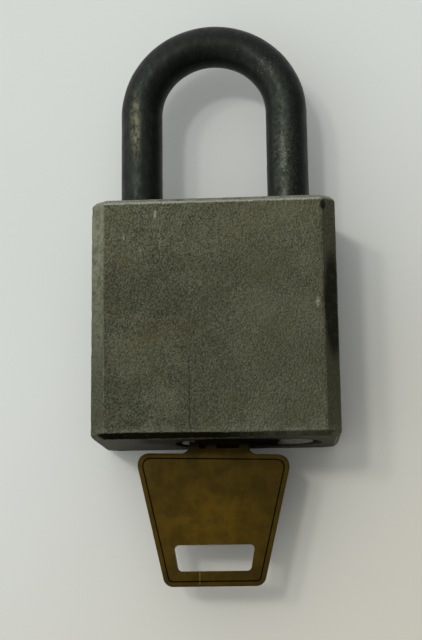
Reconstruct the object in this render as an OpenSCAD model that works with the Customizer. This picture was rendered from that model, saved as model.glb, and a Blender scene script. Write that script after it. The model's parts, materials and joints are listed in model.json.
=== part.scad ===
// Solid steel padlock, lying on its back with its key in the cylinder.
// Origin: centre of the back face. +X to the toe leg, +Y to the shackle's bend, +Z out of the front face.

/* [Body] */
// Width, across both shackle legs
body_w = 50.8; // [50.8:0.2:54]
// Height, from the key end to the shackle end
body_h = 50.2; // [49.4:0.2:54]
// Thickness, from the back face to the front face
body_t = 24; // [23:0.5:28]
// Width of the bevel down each long edge
bevel_w = 2.9; // [1.5:0.1:3.2]
// Depth of the bevel down each long edge
bevel_d = 2.3; // [1.5:0.1:3]
// Chamfer around each end face
end_chamfer = 1; // [0.4:0.1:1.4]

/* [Shackle] */
// Diameter of the shackle's rod
rod_d = 9; // [8.8:0.1:9.1]
// Distance between the centres of the two legs
leg_pitch = 31.7; // [31.6:0.1:32]
// Height of the bend's centre above the body
leg_rise = 22.2; // [18:0.2:60]
// How far the shackle rises as the key turns
shackle_lift = 17; // [16.6:0.1:17]

/* [Cylinder] */
// Radius of the plug
plug_r = 6.35; // [6.3:0.05:6.35]
// Depth of the cylinder's face inside the body
face_recess = 0.3; // [0.2:0.1:0.6]
// Distance between neighbouring pin stacks
pin_pitch = 3.2; // [3.1:0.05:3.2]
// Height of the key's first cut, from the plug's axis
first_cut = 3.3; // [3:0.1:3.5]
// How much lower each further cut is
cut_step = 0.6; // [0.2:0.1:0.6]

/* [Key] */
// Thickness of the key
key_t = 2.3; // [2:0.1:2.5]
// Width of the bow beside the lock
bow_top_w = 32.8; // [28:0.4:36]
// Width of the bow at its far end
bow_end_w = 20.2; // [19.8:0.2:26]
// Length of the bow
bow_len = 27; // [26:0.5:32]
// Sideways offset of the bow from the plug's axis
bow_shift = -1.05; // [-1.5:0.05:1.5]
// How far the bow's near edge leans down at its +X corner, and up at the other
bow_lean = 0.43; // [0:0.01:0.6]

/* [Hidden] */
$fn = 64;

steel_grey = [0.36, 0.36, 0.31];
shackle_grey = [0.2, 0.21, 0.2];
bright_steel = [0.62, 0.62, 0.6];
brass = [0.6, 0.48, 0.24];
old_brass = [0.36, 0.29, 0.13];

mid_z = body_t / 2;
key_end = -body_h / 2;
top_end = body_h / 2;
leg_x = leg_pitch / 2;
rod_r = rod_d / 2;
hole_r = rod_r + 0.2;

// Places along Y, each measured up from the key end.
face_y = key_end + face_recess;
bore_floor_y = key_end + 3.1;
collar_y = key_end + 9.9;
collar_top_y = key_end + 12.9;
clip_y = key_end + 25.4;
shell_end_y = key_end + 27.9;
drum_y = key_end + 28.3;
screw_seat_y = key_end + 30.5;
retainer_y = key_end + 31.5;
neck_top_y = key_end + 33.2;
toe_floor_y = key_end + 33.3;
toe_end_y = key_end + 34.1;
ball_y = key_end + 41.1;
drum_end_y = key_end + 45.7;
bend_y = top_end + leg_rise;

// Shackle: its toe chamfer, and the neck and collar of its long leg.
toe_chamfer = 0.8;
neck_r = 3;
collar_gap = 0.05;
retainer_r = 1.5;
retainer_gap = 0.05;
lift_spring_r = 3.2;
lift_wire_r = 0.45;
lift_turns = 5;

// Locking balls: how they bite into the legs, and how far they draw back into the actuator.
ball_r = 3.175;
ball_bite = 1.5;
ball_travel = 4.8;
ball_x = leg_x - rod_r - ball_r + ball_bite;
ball_gap = 0.1;
ball_hole_gap = 0.125;
ramp_angle = atan(ball_travel / shackle_lift);
ramp_len = 7;
drum_r = 7;
cam_half = ball_r + 0.175;
cam_step = 6;

// Pear-shaped cylinder: a round part for the plug and a lobe for the pin chambers. The pocket's
// lobe reaches further than the cylinder's.
main_r = 8.9;
lobe_r = 6.4;
lobe_x = 13.9;
fit_gap = 0.1;
pocket_lobe_r = 6.5;
pocket_lobe_x = 15.1;
plug_gap = 0.07;
counterbore_r = 7.9;

// Clip around the plug's inner end, open on its -X side.
clip_t = 0.9;
clip_r = 7.6;
clip_groove_r = 5.6;
clip_mouth = 5;

// Tail of the plug, and the slot in the drum that takes it.
tab_w = 8.8;
tab_t = 2.6;
tab_len = 4.7;
tab_gap = 0.2;

// Screw that holds the cylinder, and its driver slot.
screw_r = 1.5;
head_r = 2.8;
screw_depth = 6.4;
driver_slot_w = 0.8;
driver_slot_d = 0.9;

// Pin stacks, which stand along X beside the key's cuts.
pin_count = 5;
pin_r = 1.4;
chamber_r = pin_r + 0.05;
shear_in = 6.2;
shear_out = 6.46;
driver_end = 11;
chamber_end = 18;
pin_gap = 0.05;
tip_r = 0.5;
tip_len = 1;
pin_spring_r = 1;
pin_wire_r = 0.22;
pin_turns = 6;
first_pin_y = face_y + 5.2;
cover_t = 1.2;
cover_w = 4.4;
cover_len = (pin_count - 1) * pin_pitch + 4.1;
cover_y = first_pin_y - 2.05;

// Key: a flat blade with milled grooves and a wide bow.
spine_x = -4.3;
edge_x = 3.9;
neck_left = -5.97;
neck_right = 6.41;
neck_fillet = 1.7;
blade_len = 20.9;
tip_chamfer = 1.3;
tip_x = -1.5;
cut_half = 0.6;
keyway_gap = 0.12;
bow_gap = 2.1;
bow_corner_r = 2.5;
bow_end_r = 2;
slot_r = 0.9;
slot_top_w = 16.8;
slot_end_w = 14.9;

// Milled grooves, each [start, width] along X: two in the front of the blade and one in its back.
groove_d = 0.65;
side_groove = [-3.96, 1.48];
edge_groove = [-0.31, 4.71];
back_groove = [-2.3, 1.5];
groove_start_y = key_end - 1;
shoulder_y = face_y - 0.05;
bow_y = key_end - bow_gap;
bow_end_y = bow_y - bow_len;
slot_top_y = bow_end_y + 8.4;
slot_end_y = bow_end_y + 3.1;

function pin_y(i) = first_pin_y + i * pin_pitch;
function cut_x(i) = first_cut - i * cut_step;
function bow_edge_y(x) = bow_y - bow_lean * (x - bow_shift) / (bow_top_w / 2);
function unit(v) = v / norm(v);
function xy(p) = [p.x, p.y];

// Points of the arc that rounds corner b, between its neighbours a and c, to radius b.z.
function corner_arc(a, b, c, n = 6) =
    b.z == 0 ? [xy(b)] :
    let (
        u = unit(xy(a) - xy(b)),
        v = unit(xy(c) - xy(b)),
        half = acos(u * v) / 2,
        centre = xy(b) + unit(u + v) * b.z / sin(half),
        start = xy(b) + u * b.z / tan(half) - centre,
        end = xy(b) + v * b.z / tan(half) - centre,
        a0 = atan2(start.y, start.x),
        sweep = atan2(start.x * end.y - start.y * end.x, start * end)
    )
    [for (i = [0:n]) centre + b.z * [cos(a0 + sweep * i / n), sin(a0 + sweep * i / n)]];

// Outline through corners [x, y, radius].
function rounded(p) =
    [for (i = [0:len(p) - 1]) each corner_arc(p[(i + len(p) - 1) % len(p)], p[i], p[(i + 1) % len(p)])];

// Section of a round helical wire, cut square to the coil's axis.
function wire_section(r, wire, pitch, n = 8) = [
    for (i = [0:n - 1])
        let (a = 360 * i / n, turn = 360 * wire * sin(a) / pitch)
        (r + wire * cos(a)) * [cos(turn), -sin(turn)]
];

module along_y(y0, y1) {
    translate([0, y1, mid_z]) rotate([90, 0, 0]) linear_extrude(y1 - y0) children();
}

module rod_y(r, x, y0, y1) {
    translate([x, y1, mid_z]) rotate([90, 0, 0]) cylinder(r = r, h = y1 - y0);
}

module rod_x(r, y, x0, x1) {
    translate([x0, y, mid_z]) rotate([0, 90, 0]) cylinder(r = r, h = x1 - x0);
}

module coil(r, wire, len, turns) {
    pitch = len / turns;
    linear_extrude(len, twist = -360 * turns, slices = 12 * turns, segments = 8)
        polygon(wire_section(r, wire, pitch));
}

// Rectangle w by h, with its corners cut by cx along its width and cy along its height.
module cut_rectangle(w, h, cx, cy) {
    x = w / 2;
    y = h / 2;
    polygon([
        [-x + cx, -y], [x - cx, -y], [x, -y + cy], [x, y - cy],
        [x - cx, y], [-x + cx, y], [-x, y - cy], [-x, -y + cy]
    ]);
}

// Pear-shaped prism: a round part of radius main and a lobe, joined by a block that stops a
// hair inside their shared tangents.
module pear(y0, y1, main, lobe, reach) {
    hair = 0.05;
    lean = asin((main - lobe) / reach);
    r = main - hair;
    q = lobe - hair;
    union() {
        rod_y(main, 0, y0, y1);
        rod_y(lobe, reach, y0, y1);
        along_y(y0, y1) polygon([
            [r * sin(lean), r * cos(lean)],
            [reach + q * sin(lean), q * cos(lean)],
            [reach + q * sin(lean), -q * cos(lean)],
            [r * sin(lean), -r * cos(lean)]
        ]);
    }
}

// Section of the key's blade, grown by gap on every side for the keyway.
module blade_section(gap) {
    half = key_t / 2;
    difference() {
        translate([spine_x - gap, -half - gap]) square([edge_x - spine_x + 2 * gap, key_t + 2 * gap]);
        translate([side_groove[0] + gap, half - groove_d + gap])
            square([side_groove[1] - 2 * gap, key_t]);
        translate([edge_groove[0] + gap, half - groove_d + gap]) square([edge_groove[1], key_t]);
        translate([back_groove[0] + gap, -half + groove_d - gap - key_t])
            square([back_groove[1] - 2 * gap, key_t]);
    }
}

module body_block() {
    intersection() {
        along_y(key_end, top_end) cut_rectangle(body_w, body_t, bevel_w, bevel_d);
        translate([-body_w / 2, 0, mid_z]) rotate([90, 0, 90])
            linear_extrude(body_w) cut_rectangle(body_h, body_t, end_chamfer, end_chamfer);
        linear_extrude(body_t) cut_rectangle(body_w, body_h, end_chamfer, end_chamfer);
    }
}

module body() {
    color(steel_grey)
        difference() {
            body_block();
            pear(key_end - 1, shell_end_y + 0.2, main_r + fit_gap, pocket_lobe_r, pocket_lobe_x);
            rod_y(drum_r + 0.15, 0, shell_end_y, drum_end_y + 0.2);
            rod_y(hole_r, -leg_x, bore_floor_y, top_end + 1);
            rod_y(hole_r, leg_x, toe_floor_y, top_end + 1);
            rod_y(head_r + 0.2, leg_x, screw_seat_y, toe_floor_y + 1);
            rod_y(screw_r + 0.15, leg_x, shell_end_y, screw_seat_y + 1);
            rod_x(ball_r + ball_hole_gap, ball_y, -leg_x + 2, leg_x - 2);
            rod_x(retainer_r + retainer_gap, retainer_y, -leg_x + 2, -drum_r + 1);
        }
}

// Room for a ball as it draws back along its ramp, in the leg on side s.
module ball_ramp(s) {
    translate([s * ball_x, ball_y, mid_z]) {
        sphere(ball_r + ball_gap);
        rotate([90, 0, -s * ramp_angle]) cylinder(r = ball_r + ball_gap, h = ramp_len);
    }
}

module shackle() {
    color(shackle_grey)
        difference() {
            union() {
                translate([0, bend_y, mid_z]) rotate_extrude(angle = 180)
                    translate([leg_x, 0]) circle(rod_r);
                rod_y(rod_r, leg_x, toe_end_y + toe_chamfer, bend_y);
                translate([leg_x, toe_end_y + toe_chamfer, mid_z]) rotate([90, 0, 0])
                    cylinder(r1 = rod_r, r2 = rod_r - toe_chamfer, h = toe_chamfer);
                rod_y(rod_r, -leg_x, neck_top_y, bend_y);
                rod_y(neck_r, -leg_x, collar_top_y - 1, neck_top_y + 1);
                rod_y(rod_r - collar_gap, -leg_x, collar_y, collar_top_y);
            }
            ball_ramp(1);
            ball_ramp(-1);
        }
}

module ball(s) {
    color(bright_steel) translate([s * ball_x, ball_y, mid_z]) sphere(ball_r);
}

module heel_ball() { ball(-1); }

module toe_ball() { ball(1); }

// Both pockets follow the balls as the drum turns a quarter turn and they draw in.
module cam_section() {
    difference() {
        circle(drum_r);
        for (a = [0:cam_step:90], s = [1, -1])
            translate(s * (ball_x - ball_travel * a / 90) * [cos(a), sin(a)]) circle(ball_r + ball_gap);
    }
}

module actuator() {
    color(bright_steel)
        difference() {
            union() {
                rod_y(drum_r, 0, drum_y, ball_y - cam_half);
                along_y(ball_y - cam_half - 0.1, ball_y + cam_half + 0.1) cam_section();
                rod_y(drum_r, 0, ball_y + cam_half, drum_end_y);
            }
            along_y(drum_y - 1, drum_y + tab_len)
                square([tab_w + 2 * tab_gap, tab_t + 2 * tab_gap], center = true);
        }
}

module shackle_spring() {
    color(bright_steel) translate([-leg_x, collar_y - 0.05, mid_z]) rotate([90, 0, 0])
        coil(lift_spring_r, lift_wire_r, collar_y - bore_floor_y - 0.1, lift_turns);
}

module shackle_retaining_pin() {
    color(bright_steel) rod_x(retainer_r, retainer_y, -leg_x + neck_r + 0.25, -drum_r - 0.2);
}

module cylinder_shell() {
    color(brass)
        difference() {
            pear(face_y, shell_end_y, main_r, lobe_r, lobe_x);
            rod_y(plug_r + plug_gap, 0, face_y - 1, shell_end_y + 1);
            rod_y(counterbore_r, 0, clip_y - 0.1, shell_end_y + 1);
            rod_y(screw_r + 0.05, leg_x, shell_end_y - screw_depth - 0.1, shell_end_y + 1);
            for (i = [0:pin_count - 1]) rod_x(chamber_r, pin_y(i), plug_r - 2, chamber_end + 1);
            translate([chamber_end, cover_y - pin_gap, mid_z - cover_w / 2 - pin_gap])
                cube([lobe_r, cover_len + 2 * pin_gap, cover_w + 2 * pin_gap]);
        }
}

module chamber_cover() {
    color(brass) translate([chamber_end + pin_gap, cover_y, mid_z - cover_w / 2])
        cube([cover_t, cover_len, cover_w]);
}

module cylinder_screw() {
    color(bright_steel)
        difference() {
            union() {
                rod_y(screw_r, leg_x, shell_end_y - screw_depth, screw_seat_y + 0.2);
                rod_y(head_r, leg_x, screw_seat_y + 0.05, toe_floor_y - 0.3);
            }
            translate([leg_x - head_r - 1, toe_floor_y - 0.3 - driver_slot_d, mid_z - driver_slot_w / 2])
                cube([2 * head_r + 2, driver_slot_d + 1, driver_slot_w]);
        }
}

module plug() {
    color(brass)
        difference() {
            union() {
                rod_y(plug_r, 0, face_y, shell_end_y - 0.1);
                along_y(shell_end_y - 1, shell_end_y - 0.1 + tab_len)
                    square([tab_w, tab_t], center = true);
            }
            difference() {
                rod_y(plug_r + 1, 0, clip_y - 0.05, clip_y + clip_t + 0.05);
                rod_y(clip_groove_r, 0, clip_y - 1, clip_y + clip_t + 1);
            }
            along_y(face_y - 1, face_y + blade_len + 0.8) blade_section(keyway_gap);
            for (i = [0:pin_count - 1]) rod_x(chamber_r, pin_y(i), -0.5, plug_r + 1);
        }
}

module plug_clip() {
    color(bright_steel)
        difference() {
            rod_y(clip_r, 0, clip_y, clip_y + clip_t);
            rod_y(clip_groove_r + 0.05, 0, clip_y - 1, clip_y + clip_t + 1);
            translate([-clip_r - 1, clip_y - 1, mid_z - clip_mouth / 2])
                cube([clip_r + 1, clip_t + 2, clip_mouth]);
        }
}

// Outline of the key: the bow, the neck and the blade with its cuts.
function key_outline() = rounded(concat(
    [
        [bow_shift - bow_end_w / 2, bow_end_y, bow_end_r],
        [bow_shift + bow_end_w / 2, bow_end_y, bow_end_r],
        [bow_shift + bow_top_w / 2, bow_y - bow_lean, bow_corner_r],
        [neck_right, bow_edge_y(neck_right), neck_fillet],
        [neck_right, shoulder_y, 0],
        [edge_x, shoulder_y, 0]
    ],
    [for (i = [0:pin_count - 1], e = [-cut_half, cut_half]) [cut_x(i), pin_y(i) + e, 0]],
    [
        [tip_x, face_y + blade_len, 0],
        [spine_x + tip_chamfer, face_y + blade_len, 0],
        [spine_x, face_y + blade_len - tip_chamfer, 0],
        [spine_x, shoulder_y, 0],
        [neck_left, shoulder_y, 0],
        [neck_left, bow_edge_y(neck_left), neck_fillet],
        [bow_shift - bow_top_w / 2, bow_y + bow_lean, bow_corner_r]
    ]
));

function slot_outline() = rounded([
    [bow_shift - slot_end_w / 2, slot_end_y, slot_r],
    [bow_shift + slot_end_w / 2, slot_end_y, slot_r],
    [bow_shift + slot_top_w / 2, slot_top_y, slot_r],
    [bow_shift - slot_top_w / 2, slot_top_y, slot_r]
]);

// Cutter for a groove that runs from the neck past the blade's tip, from height z up.
module groove(at, z) {
    translate([at[0], groove_start_y, z]) cube([at[1], blade_len + 10, 1]);
}

module key() {
    color(old_brass)
        difference() {
            translate([0, 0, mid_z - key_t / 2]) linear_extrude(key_t) polygon(key_outline());
            translate([0, 0, mid_z - key_t]) linear_extrude(2 * key_t) polygon(slot_outline());
            groove(side_groove, mid_z + key_t / 2 - groove_d);
            groove(edge_groove, mid_z + key_t / 2 - groove_d);
            groove(back_groove, mid_z - key_t / 2 + groove_d - 1);
        }
}

// A pin with a blunt cone that rests in its cut of the key.
module bottom_pin(i) {
    start_x = cut_x(i) + pin_gap;
    color(brass) translate([start_x, pin_y(i), mid_z]) rotate([0, 90, 0])
        union() {
            cylinder(r1 = tip_r, r2 = pin_r, h = tip_len);
            translate([0, 0, tip_len]) cylinder(r = pin_r, h = shear_in - start_x - tip_len);
        }
}

module driver_pin(i) {
    color(bright_steel) rod_x(pin_r, pin_y(i), shear_out, driver_end);
}

module pin_spring(i) {
    color(bright_steel) translate([driver_end + pin_gap, pin_y(i), mid_z]) rotate([0, 90, 0])
        coil(pin_spring_r, pin_wire_r, chamber_end - driver_end - 2 * pin_gap, pin_turns);
}

body();
shackle();
heel_ball();
toe_ball();
actuator();
shackle_spring();
shackle_retaining_pin();
cylinder_shell();
cylinder_screw();
plug();
plug_clip();
chamber_cover();
key();
bottom_pin(0);  // bottom_pin_1
bottom_pin(1);  // bottom_pin_2
bottom_pin(2);  // bottom_pin_3
bottom_pin(3);  // bottom_pin_4
bottom_pin(4);  // bottom_pin_5
driver_pin(0);  // driver_pin_1
driver_pin(1);  // driver_pin_2
driver_pin(2);  // driver_pin_3
driver_pin(3);  // driver_pin_4
driver_pin(4);  // driver_pin_5
pin_spring(0);  // pin_spring_1
pin_spring(1);  // pin_spring_2
pin_spring(2);  // pin_spring_3
pin_spring(3);  // pin_spring_4
pin_spring(4);  // pin_spring_5
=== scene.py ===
# %% [markdown]
# # A weathered steel padlock
#
# The real lock is a solid block of steel with a bent steel rod in its top and a brass key in its foot.
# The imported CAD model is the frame: it says where each piece is and how it moves. This lesson gives the
# pieces their looks. The pieces that show, which are the body, the shackle and the key, are remodelled
# with rounded and worn edges, and the inner pieces keep their CAD shape and get a finish.

# %% Load the frame
import json
import math
import random

import bmesh
import bpy
from mathutils import Matrix, Vector, noise
from mathutils.bvhtree import BVHTree

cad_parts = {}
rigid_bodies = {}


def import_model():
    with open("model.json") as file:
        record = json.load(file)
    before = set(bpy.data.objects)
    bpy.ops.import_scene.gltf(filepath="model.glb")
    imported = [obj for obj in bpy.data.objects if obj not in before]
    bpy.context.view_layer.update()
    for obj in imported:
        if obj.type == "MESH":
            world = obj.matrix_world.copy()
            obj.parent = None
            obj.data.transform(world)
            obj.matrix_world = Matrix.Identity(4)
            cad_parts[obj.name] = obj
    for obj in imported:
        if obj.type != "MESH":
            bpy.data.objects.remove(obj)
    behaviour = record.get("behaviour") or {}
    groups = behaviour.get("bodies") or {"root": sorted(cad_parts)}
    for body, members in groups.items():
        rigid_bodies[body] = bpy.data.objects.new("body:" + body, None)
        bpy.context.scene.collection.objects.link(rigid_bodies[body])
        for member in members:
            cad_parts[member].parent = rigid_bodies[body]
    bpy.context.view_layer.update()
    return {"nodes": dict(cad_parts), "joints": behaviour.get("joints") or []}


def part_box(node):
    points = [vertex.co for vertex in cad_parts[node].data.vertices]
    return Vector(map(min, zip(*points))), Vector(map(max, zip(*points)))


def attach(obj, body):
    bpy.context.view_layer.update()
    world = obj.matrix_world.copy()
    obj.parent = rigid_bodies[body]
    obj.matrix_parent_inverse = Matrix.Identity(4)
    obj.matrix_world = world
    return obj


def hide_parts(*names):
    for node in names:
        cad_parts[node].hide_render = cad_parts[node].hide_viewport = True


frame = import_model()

print("nodes in the frame:", len(frame["nodes"]))

# %% [markdown]
# ## Measures
#
# Everything is in metres in the frame's own axes: +X towards the leg that comes free, +Y towards the
# bend, +Z out of the front face. The big sizes are read from the boxes of the CAD nodes. Sections, such
# as the bevels, don't show in a box, so they are named here once.

# %% Measures of the lock
mm = 0.001

body_low, body_high = (Vector(corner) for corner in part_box("body"))
shackle_low, shackle_high = (Vector(corner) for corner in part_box("shackle"))
key_low, key_high = (Vector(corner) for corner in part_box("key"))
mid_z = (body_low.z + body_high.z) / 2
key_end = body_low.y
top_end = body_high.y

bevel_w = 2.9 * mm
bevel_d = 2.3 * mm
end_chamfer = 1.0 * mm
rod_r = (shackle_high.z - shackle_low.z) / 2
leg_x = shackle_high.x - rod_r
bend_y = shackle_high.y - shackle_high.x
print("rod radius", round(rod_r / mm, 2), "mm, legs", round(2 * leg_x / mm, 1), "mm apart")


# %% [markdown]
# ## The camera
#
# The lock lies on its back and the camera looks down on it from about 280 mm, tilted a little from the
# key end and from the right, as one looks at a lock on a table. A long lens keeps its sides nearly parallel.

# %% Camera
camera_place = (13.84 * mm, -53.65 * mm, 280.1 * mm)
camera_angles = (11.588, 3.144, -1.353)

camera_data = bpy.data.cameras.new("camera")
camera_data.sensor_width = 36
camera_data.lens = 72.5
camera_data.clip_start = 0.01
camera = bpy.data.objects.new("camera", camera_data)
camera.location = camera_place
camera.rotation_mode = "ZYX"
camera.rotation_euler = [math.radians(angle) for angle in camera_angles]
bpy.context.scene.collection.objects.link(camera)
bpy.context.scene.camera = camera
bpy.context.scene.view_settings.view_transform = "Standard"
print("camera:", round(camera_place[2] / mm), "mm up, with a lens of", camera_data.lens, "mm")


# %% [markdown]
# ## From a bmesh to a piece
#
# A bmesh is Blender's editable mesh. Each piece is made in one, then turned into an object whose origin
# stays at the frame's origin, so its place is in its mesh. Edges sharper than an angle stay sharp and all
# others are shaded smooth. The Weighted Normal modifier lets the large flat faces keep their true
# normals, so that only the narrow strips along the edges look round.

# %% Making a piece
weld = 0.001 * mm
large_faces_win = 100


def piece_from(bm, name, sharp=30):
    bmesh.ops.remove_doubles(bm, verts=bm.verts, dist=weld)
    bmesh.ops.recalc_face_normals(bm, faces=bm.faces)
    mesh = bpy.data.meshes.new(name)
    bm.to_mesh(mesh)
    bm.free()
    piece = bpy.data.objects.new(name, mesh)
    bpy.context.scene.collection.objects.link(piece)
    shade(piece, sharp)
    return piece


def shade(piece, sharp):
    piece.data.shade_smooth()
    piece.data.set_sharp_from_angle(angle=math.radians(sharp))


def keep_flats_flat(piece):
    modifier = piece.modifiers.new("flat faces", "WEIGHTED_NORMAL")
    modifier.mode = "FACE_AREA"
    modifier.weight = large_faces_win
    modifier.keep_sharp = True


print("vertices closer than", round(weld / mm, 3), "mm are merged")


# %% [markdown]
# ## Nodes and colours
#
# Every finish is made of nodes. One helper adds any node, sets what it is told and wires what it is given.
# Colours are written as one sees them on a screen, from 0 to 255, and turned into the linear light that
# the renderer counts in.

# %% Adding nodes
def new_material(name):
    material = bpy.data.materials.new(name)
    material.use_nodes = True
    return material


def add(material, kind, inputs=(), **settings):
    node = material.node_tree.nodes.new("ShaderNode" + kind)
    for name, value in settings.items():
        setattr(node, name, value)
    for name, value in dict(inputs).items():
        put(material, node.inputs[name], value)
    return node


def put(material, socket, value):
    if isinstance(value, bpy.types.NodeSocket):
        material.node_tree.links.new(value, socket)
    else:
        socket.default_value = value


def feed(material, **sockets):
    shader = material.node_tree.nodes["Principled BSDF"]
    for name, value in sockets.items():
        put(material, shader.inputs[name.replace("_", " ")], value)
    print(material.name + ":", len(material.node_tree.nodes), "nodes")


def rgb(red, green, blue):
    def linear(value):
        value = value / 255
        return value / 12.92 if value <= 0.04045 else ((value + 0.055) / 1.055) ** 2.4
    return (linear(red), linear(green), linear(blue), 1)


print("a screen's 128 is", round(rgb(128, 128, 128)[0], 3), "in linear light")


# %% [markdown]
# ## Patterns and masks
#
# Patterns read Object coordinates, scaled so that 1 is one millimetre, which keeps a grain at its real
# size. A mask is a number from 0 to 1 that says where a colour goes. Masks come from noise, from a soft
# step along an axis and from the distance to a point, and they are combined by adding, multiplying and
# taking the larger.

# %% Patterns
def place_mm(material, stretch=(1, 1, 1), centre=(0, 0, 0)):
    place = add(material, "TexCoord").outputs["Object"]
    scale = tuple(factor / mm for factor in stretch)
    shift = tuple(-factor * middle for factor, middle in zip(stretch, centre))
    return add(material, "Mapping", {"Vector": place, "Scale": scale, "Location": shift}).outputs[0]


def speckle(material, where, scale, detail=3, roughness=0.5):
    values = {"Vector": where, "Scale": scale, "Detail": detail, "Roughness": roughness}
    return add(material, "TexNoise", values).outputs[0]


def step(material, value, start, end, low=0, high=1):
    values = {"Value": value, "From Min": start, "From Max": end, "To Min": low, "To Max": high}
    return add(material, "MapRange", values, interpolation_type="SMOOTHSTEP").outputs["Result"]


def calc(material, operation, first, *others):
    for other in others or (0.0,):
        first = add(material, "Math", {0: first, 1: other}, operation=operation).outputs[0]
    return first


def product(material, *masks):
    return calc(material, "MULTIPLY", *masks)


print("object coordinates are scaled by", round(1 / mm))


# %% [markdown]
# ## Colours over colours
#
# A finish is built up like paint. There is a ground colour, and each mark is laid over it through its
# mask. A bump node raises the fine grain that is too small to be modelled.

# %% Layers
def blend(material, factor, first, second):
    return add(material, "Mix", {0: factor, 6: first, 7: second}, data_type="RGBA").outputs[2]


def cover(material, ground, layers):
    for mask, colour in layers:
        ground = blend(material, mask, ground, colour)
    return ground


def raised(material, height, distance, strength=1.0):
    values = {"Height": height, "Distance": distance, "Strength": strength}
    return add(material, "Bump", values).outputs[0]


print("node helpers:", ", ".join(helper.__name__ for helper in (add, step, calc, blend, cover, raised)))


# %% [markdown]
# ## Floor
#
# The lock lies on a pale, matt board. It is one flat face, made so wide that its rim stays out of every
# low view, and its paint turns a little warmer and darker away from the light, a painted falloff of the
# light.

# %% Floor
floor_reach = 12
falloff_side = (0.6, -0.8, 0)

bm = bmesh.new()
bmesh.ops.create_grid(bm, x_segments=1, y_segments=1, size=floor_reach)
board = piece_from(bm, "board")

board_paint = new_material("matt board")
where = place_mm(board_paint)
mottle = speckle(board_paint, where, 0.02, detail=2)
# painted shade: the board is painted warmer and darker away from the light
painted_falloff = add(board_paint, "VectorMath", {0: where, 1: falloff_side}, operation="DOT_PRODUCT").outputs["Value"]
paint = blend(board_paint, mottle, rgb(202, 204, 200), rgb(196, 198, 193))
feed(board_paint,
     Base_Color=blend(board_paint, step(board_paint, painted_falloff, -30, 90), paint, rgb(188, 183, 171)),
     Roughness=0.7)
board.data.materials.append(board_paint)
print("board:", 2 * floor_reach, "m wide")


# %% [markdown]
# ## Light
#
# A soft sky that is brighter towards the upper left does most of the work, because a dark metal shows what
# it mirrors. Two broad lamps from that side, at slightly different heights, give the shadows on the right
# a soft double rim.

# %% Sky and lamps
bright_side = Vector((-0.86, 0.48, 0.17)).normalized()
sky_tint = (0.96, 0.99, 1.0, 1)
lamp_tint = (1.0, 0.98, 0.93)
lamps = (("near lamp", (-7.5, 5.5, 24), 0.52, 6), ("far lamp", (-13, 7.5, 24), 0.38, 7))

world = bpy.data.worlds.new("studio")
world.use_nodes = True
bpy.context.scene.world = world
sky_direction = add(world, "TexCoord").outputs["Generated"]
towards_light = add(world, "VectorMath", {0: sky_direction, 1: bright_side},
                    operation="DOT_PRODUCT").outputs["Value"]
sky = world.node_tree.nodes["Background"]
put(world, sky.inputs["Color"], sky_tint)
put(world, sky.inputs["Strength"], step(world, towards_light, -0.75, 1.0, 0.18, 1.6))

for name, lamp_from, energy, width in lamps:
    lamp_data = bpy.data.lights.new(name, "SUN")
    lamp_data.energy = energy
    lamp_data.angle = math.radians(width)
    lamp_data.color = lamp_tint
    lamp = bpy.data.objects.new(name, lamp_data)
    lamp.rotation_euler = Vector(lamp_from).to_track_quat("Z", "Y").to_euler()
    bpy.context.scene.collection.objects.link(lamp)
    print(name + ":", energy, "with a disc", width, "degrees wide")


# %% [markdown]
# ## The body: a bevelled block
#
# The real body is one block of steel with a broad bevel down each long edge and a narrow chamfer round
# each end. Its section has only eight corners, so it starts as one face of eight vertices and is
# extruded. The bevel operator then makes the end chamfers, and a second, small bevel rounds every edge,
# because no edge that has been carried about for years is sharp.

# %% Body blank
arris_r = 0.34 * mm


def verts_of(geometry):
    return [item for item in geometry if isinstance(item, bmesh.types.BMVert)]


def edges_of(geometry):
    return [item for item in geometry if isinstance(item, bmesh.types.BMEdge)]


def body_blank():
    x, top = body_high.x, body_high.z
    corners = [(x, bevel_d), (x, top - bevel_d), (x - bevel_w, top), (bevel_w - x, top),
               (-x, top - bevel_d), (-x, bevel_d), (bevel_w - x, 0), (x - bevel_w, 0)]
    bm = bmesh.new()
    section = bm.faces.new([bm.verts.new((cx, key_end, cz)) for cx, cz in corners])
    grown = bmesh.ops.extrude_face_region(bm, geom=[section])
    bmesh.ops.translate(bm, verts=verts_of(grown["geom"]), vec=(0, top_end - key_end, 0))
    bmesh.ops.recalc_face_normals(bm, faces=bm.faces)
    return bm


def across_y(edge):
    return abs(edge.verts[0].co.y - edge.verts[1].co.y) < 0.01 * mm


def sharp_edges(bm, angle=15):
    return [edge for edge in bm.edges if edge.calc_face_angle(0) > math.radians(angle)]


def round_edges(bm, edges, offset, segments):
    bmesh.ops.bevel(bm, geom=edges, offset=offset, segments=segments, profile=0.5,
                    affect="EDGES", material=-1, clamp_overlap=True)


blank = body_blank()
round_edges(blank, [edge for edge in blank.edges if across_y(edge)], end_chamfer, 1)
round_edges(blank, sharp_edges(blank), arris_r, 3)
print("body blank:", len(blank.faces), "faces")


# %% [markdown]
# ## Wear along the body's edges
#
# Worn edges are not straight. The long narrow strips along the edges are cut into short pieces, and
# their vertices are pushed inwards by a slow noise and by some knocks. A vertex on the rim of a
# large flat face slides only within that face, so the flats stay flat.

# %% Tools for wear
large_face = 4 * mm * mm
body_wave = 3.1 * mm


def cut_long_edges(bm, longest, pitch):
    for axis in (1, 0, 2):
        lengths = {}
        for edge in bm.edges:
            run = edge.verts[1].co - edge.verts[0].co
            if abs(run[axis]) > longest and abs(run[axis]) > 0.999 * run.length:
                lengths.setdefault(round(run.length / pitch), []).append(edge)
        for cuts, edges in lengths.items():
            bmesh.ops.subdivide_edges(bm, edges=edges, cuts=max(cuts - 1, 1), use_grid_fill=False)


def knock_depth(point, knocks):
    deepest = 0.0
    for centre, radius, depth in knocks:
        distance = (point - centre).length
        if distance < radius:
            deepest = max(deepest, depth * (1 - (distance / radius) ** 2))
    return deepest


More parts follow.
